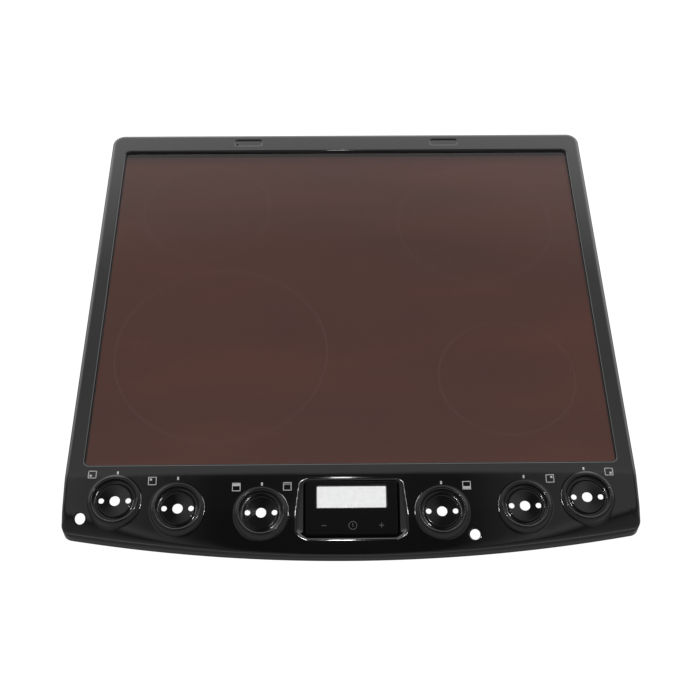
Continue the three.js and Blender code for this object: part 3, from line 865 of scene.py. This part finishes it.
class HOB_OT_glass(bpy.types.Operator):
    """Builds the glass-ceramic plate and the beads round it"""

    bl_idname = "hob.glass"
    bl_label = "Glass and Beads"

    def execute(self, context):
        middle = (0, OPENING["middle"])
        over = (GLASS_HIGH[0] / MM, (GLASS_HIGH[1] - GLASS_LOW[1]) / MM / 2)
        low, high = GLASS_LOW[2] / MM, GLASS_HIGH[2] / MM
        outline = rounded_rect(over[0], over[1], GLASS_CORNER, 60.0, 10, middle)
        rows = (
            (0.7, high), (0.25, high - 0.15), (0, high - 0.6), (0, low + 0.5), (0.2, low + 0.15), (0.5, low),
        )
        glass = plate("glass_plate", [outline], rows, material("glass_ceramic"))
        place(glass, "glass_ceramic", "ceramic_glass")
        for name, node, corner, width in BEADS:
            lo, hi = (np.array(c[:]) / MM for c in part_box(node))
            outer = (hi[:2] - lo[:2]) / 2
            side = rounded_rect(outer[0], outer[1], corner, 30.0, 9, middle)
            hole = rounded_rect(outer[0] - width, outer[1] - width, corner - width, 30.0, 9, middle)
            thick = hi[2] - lo[2]
            curve = min(width, thick) * 0.45
            turns = (math.radians(a) for a in (0, 30, 60, 90))
            rows = [(curve * (1 - math.sin(t)), hi[2] - curve * (1 - math.cos(t))) for t in turns]
            rows.append((0, lo[2]))
            place(plate(name, [side, hole], rows, material("silicone"), smooth_angle=50), "silicone", node)
        return {"FINISHED"}


def panel_turn():
    """From the overlay's own plane, about its middle, to the part's frame."""
    turn = Matrix.Rotation(PANEL_TILT, 4, "X")
    lift = Matrix.Translation((0, PANEL["top"] * MM, PANEL["z"] * MM))
    return lift @ turn @ Matrix.Translation((0, -PANEL["length"] / 2 * MM, 0))


class HOB_OT_display(bpy.types.Operator):
    """Builds the display overlay, its clear pane and the printed touch symbols"""

    bl_idname = "hob.display"
    bl_label = "Display"

    def execute(self, context):
        turn = panel_turn()
        half = PANEL["length"] / 2
        middle = half - PANE["inset"] - PANE["length"] / 2
        outline = rounded_rect(PANEL["x"], half, PANEL["corner"], 12.0, 8)
        wide, long, gap = PANE["x"], PANE["length"] / 2, PANE["gap"]
        hole = rounded_rect(wide + gap, long + gap, 1.2, 12.0, 5, (0, middle))
        rows = ((0.35, 0), (0.1, -0.1), (0, -0.35), (0, -PANEL["thickness"]))
        panel = plate("display_panel", [outline, hole], rows, material("overlay"), turn)
        place(panel, "overlay", "display_overlay")
        pane = rounded_rect(wide, long, 1.0, 12.0, 5, (0, middle))
        place(plate("display_pane", [pane], rows, material("pane"), turn), "pane", "display_window")
        place(build_symbols(turn), "overlay")
        return {"FINISHED"}


PRINT_THICKNESS = 0.05


def stroke(points, width, closed=False):
    """A flat line of the given width, as points and faces."""
    points = np.array(points, float)
    if closed:
        before, after = np.roll(points, 1, axis=0), np.roll(points, -1, axis=0)
    else:
        before, after = np.vstack((points[:1], points[:-1])), np.vstack((points[1:], points[-1:]))
    along = after - before
    along /= np.linalg.norm(along, axis=1)[:, None]
    side = np.column_stack((-along[:, 1], along[:, 0])) * width / 2
    n = len(points)
    made = np.vstack((points + side, points - side))
    last = n if closed else n - 1
    return made, [(i + n, (i + 1) % n + n, (i + 1) % n, i) for i in range(last)]


def thin_print(name, strokes, lift, finish, turn=None):
    """Joins flat strokes into one thin printed layer. lift gives each point's height."""
    points, faces = [], []
    for made, quads in strokes:
        first = len(points)
        points.extend((x, y, lift(x, y)) for x, y in made)
        faces.extend(tuple(first + i for i in quad) for quad in quads)
    piece = add_mesh(name, points, faces, finish)
    layer = piece.modifiers.new("layer", "SOLIDIFY")
    layer.thickness = PRINT_THICKNESS * MM
    layer.offset = -1
    bake_modifiers(piece)
    if turn is not None:
        piece.data.transform(turn)
    return piece


# Touch symbols: distance down the overlay, where each stands across it, and their line.
SYMBOLS = {"drop": 46.4, "minus": -28.8, "clock": 1.1, "plus": 30.9, "arm": 2.5, "face": 4.1, "line": 0.6}
PRINT_LIFT = 0.02


def build_symbols(turn):
    """A minus, a clock face and a plus."""
    y = PANEL["length"] / 2 - SYMBOLS["drop"]
    minus, clock, plus, arm, line = (SYMBOLS[k] for k in ("minus", "clock", "plus", "arm", "line"))
    strokes = [
        stroke(circle(clock, y, SYMBOLS["face"], 48), 0.55, closed=True),
        stroke([(clock, y - 1.2), (clock, y + 2.2)], line),
        stroke([(minus - arm, y), (minus + arm, y)], line),
        stroke([(plus - arm, y), (plus + arm, y)], line),
        stroke([(plus, y - arm), (plus, y + arm)], line),
    ]
    return thin_print("touch_symbols", strokes, lambda px, py: PRINT_LIFT, material("grey_print"), turn)


def square(x, y, half, line):
    """The outline of a square in short strokes, so that it follows the curved fascia."""
    corners = [(x - half, y - half), (x + half, y - half), (x + half, y + half), (x - half, y + half)]
    runs = [stroke(np.linspace(corners[i], corners[(i + 1) % 4], 9), line) for i in range(4)]
    dots = [stroke([(cx - line / 2, cy), (cx + line / 2, cy)], line) for cx, cy in corners]
    return runs + dots


def bar(x0, x1, y0, y1):
    """A filled rectangle."""
    return stroke([(x, (y0 + y1) / 2) for x in (x0, (x0 + x1) / 2, x1)], y1 - y0)


# Printed squares beside the dishes: place, and which part of the square is filled.
MARKS = (
    (-270.7, -210.5, "low_left"), (-207.6, -218.3, "high_left"), (-119.9, -225.4, "top_band"),
    (-66.8, -225.1, "grill"), (120.3, -225.5, "low_band"), (208.0, -219.0, "high_right"),
    (270.6, -211.9, "low_right"),
)
TICKS = (
    (-244.2, -208.7), (-180.9, -215.7), (-93.2, -222.5), (93.7, -222.5), (180.5, -216.9), (244.4, -208.1),
)
MARK = {"half": 4.0, "line": 0.75, "spot": 1.15, "spot_at": 1.55, "band_x": 3.6}
TICK = {"half": 1.7, "width": 1.9}


def mark(x, y, kind):
    """One zone square with its spot, band or zigzag."""
    runs = square(x, y, MARK["half"], MARK["line"])
    spot, aside, wide = MARK["spot"], MARK["spot_at"], MARK["band_x"]
    if kind in ("low_left", "high_left", "high_right", "low_right"):
        dx = -aside if "left" in kind else aside
        dy = -aside if "low" in kind else aside
        runs.append(bar(x + dx - spot, x + dx + spot, y + dy - spot, y + dy + spot))
    elif kind == "top_band":
        runs.append(bar(x - wide, x + wide, y + 1.0, y + 3.4))
    elif kind == "low_band":
        runs.append(bar(x - wide, x + wide, y - 3.4, y - 1.0))
    else:
        zigzag = [(x - 3.2 + 0.8 * i, y + (2.9 if i % 2 else 1.7)) for i in range(9)]
        runs.append(stroke(zigzag, 0.6))
    return runs


class HOB_OT_prints(bpy.types.Operator):
    """Prints the zone squares and the pointer ticks on the fascia"""

    bl_idname = "hob.prints"
    bl_label = "Fascia Prints"

    def execute(self, context):
        strokes = [run for spot in MARKS for run in mark(*spot)]
        reach = TICK["half"]
        strokes += [stroke([(x, y - reach), (x, y), (x, y + reach)], TICK["width"]) for x, y in TICKS]

        def lift(x, y):
            return float(height_at(np.array([x]), np.array([y]))[0]) + PRINT_LIFT

        place(thin_print("fascia_prints", strokes, lift, material("white_print")), "enamel")
        return {"FINISHED"}


def nut_tree():
    """Geometry nodes: a fastener on every point, made real and given its finish."""
    tree, start, end = new_group(
        "Fasteners",
        (("Points", "Geometry", None), ("Fastener", "Object", None), ("Size", "Float", 1.0),
         ("Turn Seed", "Int", 7), ("Finish", "Material", None)),
        (("Geometry", "Geometry"),),
        "GeometryNodeTree",
    )
    info = tree.nodes.new("GeometryNodeObjectInfo")
    turn = tree.nodes.new("FunctionNodeRandomValue")
    turn.data_type = "FLOAT"
    turn.inputs["Max"].default_value = math.pi / 3
    axis = tree.nodes.new("ShaderNodeCombineXYZ")
    spread = tree.nodes.new("GeometryNodeInstanceOnPoints")
    real = tree.nodes.new("GeometryNodeRealizeInstances")
    paint = tree.nodes.new("GeometryNodeSetMaterial")
    link = tree.links.new
    link(start.outputs["Fastener"], info.inputs["Object"])
    link(start.outputs["Turn Seed"], turn.inputs["Seed"])
    link(turn.outputs[1], axis.inputs["Z"])
    link(start.outputs["Points"], spread.inputs["Points"])
    link(info.outputs["Geometry"], spread.inputs["Instance"])
    link(axis.outputs[0], spread.inputs["Rotation"])
    link(start.outputs["Size"], spread.inputs["Scale"])
    link(spread.outputs["Instances"], real.inputs["Geometry"])
    link(real.outputs["Geometry"], paint.inputs["Geometry"])
    link(start.outputs["Finish"], paint.inputs["Material"])
    link(paint.outputs["Geometry"], end.inputs["Geometry"])
    return tree


# The nut: half its width over flats, its height and its bore. The stud: its length, thread and lowest root.
NUT = {"flats": 3.5, "height": 3.2, "bore": 2.3, "sides": 36}
STUD = {"length": 14.5, "pitch": 0.7, "radius": 1.97, "groove": 0.28, "plain": 5.0, "sides": 16, "foot": 17.0}


def nut_shape():
    """Hexagon nut with chamfered corners and a plain bore, its top face at the origin."""
    points, faces = [], []
    sides, flats, height, bore = (NUT[k] for k in ("sides", "flats", "height", "bore"))
    for i in range(sides):
        angle = i * 2 * math.pi / sides
        local = (angle + math.pi / 6) % (math.pi / 3) - math.pi / 6
        reach = flats / math.cos(local)
        dip = max(0.0, reach - flats * 1.03) * 0.6
        section = (
            (bore, 0), (flats * 0.97, 0), (reach, -dip - 0.05), (reach, dip - height + 0.05),
            (flats * 0.97, -height), (bore + 0.25, -height), (bore, -height + 0.3),
        )
        points.extend((r * math.cos(angle), r * math.sin(angle), z) for r, z in section)
    n = len(section)
    for i in range(sides):
        j = (i + 1) % sides
        for k in range(n):
            m = (k + 1) % n
            faces.append((i * n + k, i * n + m, j * n + m, j * n + k))
    return points, faces


def stud_shape():
    """Weld stud with rolled thread ridges, hanging from the origin."""
    length, pitch, radius, sides = (STUD[k] for k in ("length", "pitch", "radius", "sides"))
    body = [(radius, 0.0)]
    z = -STUD["plain"]
    while z > -length + 1.0:
        body.extend(((radius, z), (radius - STUD["groove"], z - pitch / 2)))
        z -= pitch
    body.append((radius - 0.5, -length))
    points = [(0, 0, 0), (0, 0, -length)]
    faces = []
    for i in range(sides):
        angle = i * 2 * math.pi / sides
        points.extend((r * math.cos(angle), r * math.sin(angle), z) for r, z in body)
    n = len(body)
    for i in range(sides):
        j = (i + 1) % sides
        a, b = 2 + i * n, 2 + j * n
        faces.append((0, a, b))
        faces.append((1, b + n - 1, a + n - 1))
        faces.extend((a + k, a + k + 1, b + k + 1, b + k) for k in range(n - 1))
    return points, faces


def spread_fasteners(name, shape, spots, finish):
    """Puts one shape on every spot with the fastener tree and returns a plain mesh."""
    model = add_mesh(name + "_model", *shape, smooth_angle=30)
    holder = add_mesh(name, spots, [])
    tree = bpy.data.node_groups.get("Fasteners") or nut_tree()
    modifier = holder.modifiers.new("fasteners", "NODES")
    modifier.node_group = tree
    sockets = {item.name: item.identifier for item in tree.interface.items_tree if item.in_out == "INPUT"}
    modifier[sockets["Fastener"]] = model
    modifier[sockets["Finish"]] = finish
    bake_modifiers(holder, 30)
    holder.data.materials.clear()
    holder.data.materials.append(finish)
    bpy.data.objects.remove(model)
    return holder


NUTS = sorted(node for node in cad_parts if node.startswith("nut_"))


class HOB_OT_fasteners(bpy.types.Operator):
    """Builds the weld studs and their nuts"""

    bl_idname = "hob.fasteners"
    bl_label = "Studs and Nuts"

    def execute(self, context):
        tops, roots = [], []
        for node in NUTS:
            low, high = (np.array(c[:]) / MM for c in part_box(node))
            x, y = (low[:2] + high[:2]) / 2
            tops.append((x, y, high[2]))
            under = float(height_at(np.array([x]), np.array([y]))[0]) - 1.0
            roots.append((x, y, min(STUD["foot"] + STUD["length"], under)))
        place(spread_fasteners("clamp_nuts", nut_shape(), tops, material("nut_steel")), "nut_steel", *NUTS)
        place(spread_fasteners("weld_studs", stud_shape(), roots, material("nut_steel")), "enamel")
        return {"FINISHED"}


EASED_EDGE = 0.22


def eased(node):
    """A copy of a CAD node with its sharp edges broken."""
    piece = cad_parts[node].copy()
    piece.data = piece.data.copy()
    piece.name = node + "_eased"
    for key in list(piece.keys()):
        del piece[key]
    piece.parent = None
    bpy.context.scene.collection.objects.link(piece)
    work = bmesh.new()
    work.from_mesh(piece.data)
    bmesh.ops.remove_doubles(work, verts=work.verts, dist=2e-6)
    bmesh.ops.dissolve_limit(work, angle_limit=math.radians(2), verts=work.verts, edges=work.edges)
    work.to_mesh(piece.data)
    work.free()
    edge = piece.modifiers.new("edge", "BEVEL")
    edge.width = EASED_EDGE * MM
    edge.segments = 2
    edge.limit_method = "ANGLE"
    edge.angle_limit = math.radians(40)
    return bake_modifiers(piece, 35)


STEEL_STRIPS = (
    "glass_rail_left", "glass_rail_right", "glass_rail_rear", "glass_rail_front",
    "rear_bracket_left", "rear_bracket_right", "front_bracket_left", "front_bracket_right",
)
STRIPS = {**dict.fromkeys(STEEL_STRIPS, "zinc_steel"), "earth_tag": "brass", "window_retainer": "retainer"}


class HOB_OT_underside(bpy.types.Operator):
    """Finishes the strips, brackets, tag, gasket and retainer under the pressing"""

    bl_idname = "hob.underside"
    bl_label = "Underside Pieces"

    def execute(self, context):
        for node, slot in STRIPS.items():
            piece = eased(node)
            piece.data.materials.clear()
            piece.data.materials.append(material(slot))
            place(piece, slot, node)
        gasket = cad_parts["display_gasket"]
        gasket.material_slots[0].material = material("gasket")
        return {"FINISHED"}


LAMP_HEIGHT = 2.4


def area_light(name, size, y, power):
    """A lamp over the middle of the width, facing down. Its size is in metres."""
    data = bpy.data.lights.new(name, "AREA")
    data.shape = "RECTANGLE"
    data.size, data.size_y = size
    data.energy = power
    lamp = bpy.data.objects.new(name, data)
    lamp.location = (0, y, LAMP_HEIGHT)
    bpy.context.scene.collection.objects.link(lamp)


# Brightness of the studio walls against the sine of the elevation: behind the object, then in front of it.
REAR_WALL = (
    (0.0, 1.5), (0.4, 1.9), (0.6, 1.4), (0.68, 1.0), (0.71, 0.8), (0.75, 0.45), (0.8, 0.4), (0.86, 0.46),
    (0.9, 0.3), (0.94, 0.08), (0.97, 0.06), (0.995, 0.06), (1.0, 0.03),
)
FRONT_WALL = ((0.0, 1.0), (0.12, 0.6), (0.3, 0.3), (0.6, 0.24), (0.75, 0.2), (0.88, 0.06), (1.0, 0.03))
WALL_TOP = 2.0


def studio_world(strength):
    """Soft light from all round, brightest from the wall behind and dark overhead, less so to either side."""
    world = bpy.data.worlds.new("studio")
    world.use_nodes = True
    tree = world.node_tree
    place = tree.nodes.new("ShaderNodeTexCoord").outputs["Generated"]
    parts = tree.nodes.new("ShaderNodeSeparateXYZ")
    tree.links.new(place, parts.inputs[0])
    level = []
    for wall in (REAR_WALL, FRONT_WALL):
        curve = tree.nodes.new("ShaderNodeFloatCurve")
        points = curve.mapping.curves[0].points
        while len(points) < len(wall):
            points.new(0.5, 0.5)
        for point, (at, value) in zip(points, wall):
            point.location = (at, value / WALL_TOP)
            point.handle_type = "VECTOR"
        curve.mapping.update()
        tree.links.new(parts.outputs["Z"], curve.inputs["Value"])
        level.append(curve.outputs[0])
    across = math_node(tree, "ADD", math_node(tree, "POWER", parts.outputs["X"], 2.0),
                       math_node(tree, "POWER", parts.outputs["Y"], 2.0))
    facing = math_node(tree, "DIVIDE", parts.outputs["Y"], math_node(tree, "SQRT", across))
    mixed = tree.nodes.new("ShaderNodeMix")
    tree.links.new(ranged(tree, facing, 0.0, 1.0, 0.1, 0.85), mixed.inputs["Factor"])
    tree.links.new(level[1], mixed.inputs[2])
    tree.links.new(level[0], mixed.inputs[3])
    aside = math_node(tree, "ABSOLUTE", parts.outputs["X"])
    flank = ranged(tree, aside, 0.0, 0.34 * strength, 0.1, 0.22)
    flank = math_node(tree, "MULTIPLY", flank, ranged(tree, parts.outputs["Z"], 0.0, 1.0, 0.86, 0.93))
    power = math_node(tree, "MULTIPLY", mixed.outputs[0], WALL_TOP * strength)
    power = math_node(tree, "ADD", power, flank)
    tree.links.new(power, tree.nodes["Background"].inputs["Strength"])
    tree.nodes["Background"].inputs["Color"].default_value = (1, 1, 1, 1)
    return world


FLOOR_HALF = 9000.0
FLOOR_Z = -0.6


class HOB_OT_studio(bpy.types.Operator):
    """Sets the floor, the lights and the camera"""

    bl_idname = "hob.studio"
    bl_label = "Studio"

    def execute(self, context):
        props = settings().studio
        scene = context.scene
        corners = [(x * FLOOR_HALF, y * FLOOR_HALF, FLOOR_Z) for x, y in ((-1, -1), (1, -1), (1, 1), (-1, 1))]
        floor = add_mesh("floor", corners, [(0, 1, 2, 3)])
        paper = Finish("studio_paper", (0.2, 0.2, 0.2), 0.9)
        paper.shader.inputs["Emission Color"].default_value = (1, 1, 1, 1)
        path = paper.tree.nodes.new("ShaderNodeLightPath").outputs
        direct = math_node(paper.tree, "ADD", path["Is Camera Ray"], path["Is Transmission Ray"])
        glow = ranged(paper.tree, direct, props.floor_bounce, props.floor_glow)
        paper.tree.links.new(glow, paper.shader.inputs["Emission Strength"])
        grain = noise(paper.tree, paper.place, 40.0)
        paper.blend(grain, (0.18, 0.18, 0.18), (0.22, 0.22, 0.22), "Base Color")
        floor.data.materials.append(paper.material)
        area_light("middle_lamp", (0.07, 0.12), -0.26, props.middle_power)
        area_light("strip_lamp", (0.06, 0.42), -0.09, props.strip_power)
        scene.world = studio_world(props.ambient)
        scene.view_settings.view_transform = "Standard"
        scene.view_settings.look = "None"
        data = bpy.data.cameras.new("camera")
        data.sensor_width = 36.0
        data.lens = props.lens
        data.clip_end = 60
        camera = bpy.data.objects.new("camera", data)
        camera.location = props.camera_place
        camera.rotation_euler = Euler([math.radians(a) for a in props.camera_turn], "XYZ")
        scene.collection.objects.link(camera)
        scene.camera = camera
        return {"FINISHED"}


# ---------------------------------------------------------------- settings and panel

class EnamelSettings(bpy.types.PropertyGroup):
    colour: FloatVectorProperty(
        name="Enamel", description="Colour of the fired enamel", subtype="COLOR",
        default=(0.005, 0.005, 0.0055), min=0, max=1,
    )
    roughness: FloatProperty(
        name="Roughness", description="Roughness under the glaze", default=0.06, min=0, max=1,
    )
    coat: FloatProperty(name="Glaze", description="Weight of the glossy glaze", default=1.0, min=0, max=1)


class GlassSettings(bpy.types.PropertyGroup):
    colour: FloatVectorProperty(
        name="Glass", description="Colour that passes through the plate", subtype="COLOR",
        default=(0.066, 0.025, 0.0185), min=0, max=1,
    )
    ring_colour: FloatVectorProperty(
        name="Rings", description="Colour of the printed zone rings", subtype="COLOR",
        default=(0.11, 0.07, 0.065), min=0, max=1,
    )
    ring_line: FloatProperty(
        name="Ring Line", description="Half width of a printed ring", default=0.0009, unit="LENGTH", min=0,
    )
    ring_strength: FloatProperty(name="Ring Strength", description="How strongly the rings show", default=0.2)


class StudioSettings(bpy.types.PropertyGroup):
    floor_bounce: FloatProperty(
        name="Floor Bounce", description="Light the paper floor throws back", default=0.12,
    )
    floor_glow: FloatProperty(
        name="Floor Glow", description="Light given off by the floor", default=1.0, min=0,
    )
    ambient: FloatProperty(name="Walls", description="Brightness of the studio walls", default=1.0, min=0)
    middle_power: FloatProperty(
        name="Middle Lamp", description="Power of the compact lamp over the fascia", default=1.7,
        unit="POWER",
    )
    strip_power: FloatProperty(
        name="Strip Lamp", description="Power of the long lamp over the middle", default=1.0, unit="POWER",
    )
    lens: FloatProperty(name="Lens", description="Focal length in millimetres", default=62.6, min=1)
    camera_place: FloatVectorProperty(
        name="Camera", description="Camera position", subtype="TRANSLATION",
        default=(-0.0157, -0.8649, 1.1363),
    )
    camera_turn: FloatVectorProperty(
        name="Camera Turn", description="Camera angles in degrees", default=(36.431, -0.317, -0.729),
    )


class HobSettings(bpy.types.PropertyGroup):
    enamel: PointerProperty(type=EnamelSettings)
    glass: PointerProperty(type=GlassSettings)
    studio: PointerProperty(type=StudioSettings)


STEPS = (HOB_OT_studio, HOB_OT_pressing, HOB_OT_glass, HOB_OT_display, HOB_OT_prints, HOB_OT_fasteners,
         HOB_OT_underside)


class HOB_PT_panel(bpy.types.Panel):
    """Lists the hob top's settings and building steps"""

    bl_idname = "HOB_PT_panel"
    bl_label = "Hob Top"
    bl_space_type = "VIEW_3D"
    bl_region_type = "UI"
    bl_category = "Hob Top"

    def draw(self, context):
        props = context.scene.hob_top
        for group in (props.enamel, props.glass, props.studio):
            box = self.layout.box()
            for label in group.__annotations__:
                box.prop(group, label)
        for step in STEPS:
            self.layout.operator(step.bl_idname)


CLASSES = (EnamelSettings, GlassSettings, StudioSettings, HobSettings, *STEPS, HOB_PT_panel)


def register():
    for item in CLASSES:
        bpy.utils.register_class(item)
    bpy.types.Scene.hob_top = PointerProperty(type=HobSettings)


def unregister():
    del bpy.types.Scene.hob_top
    for item in reversed(CLASSES):
        bpy.utils.unregister_class(item)


def main():
    register()
    for step in STEPS:
        group, name = step.bl_idname.split(".")
        getattr(getattr(bpy.ops, group), name)()


if __name__ == "__main__":
    main()
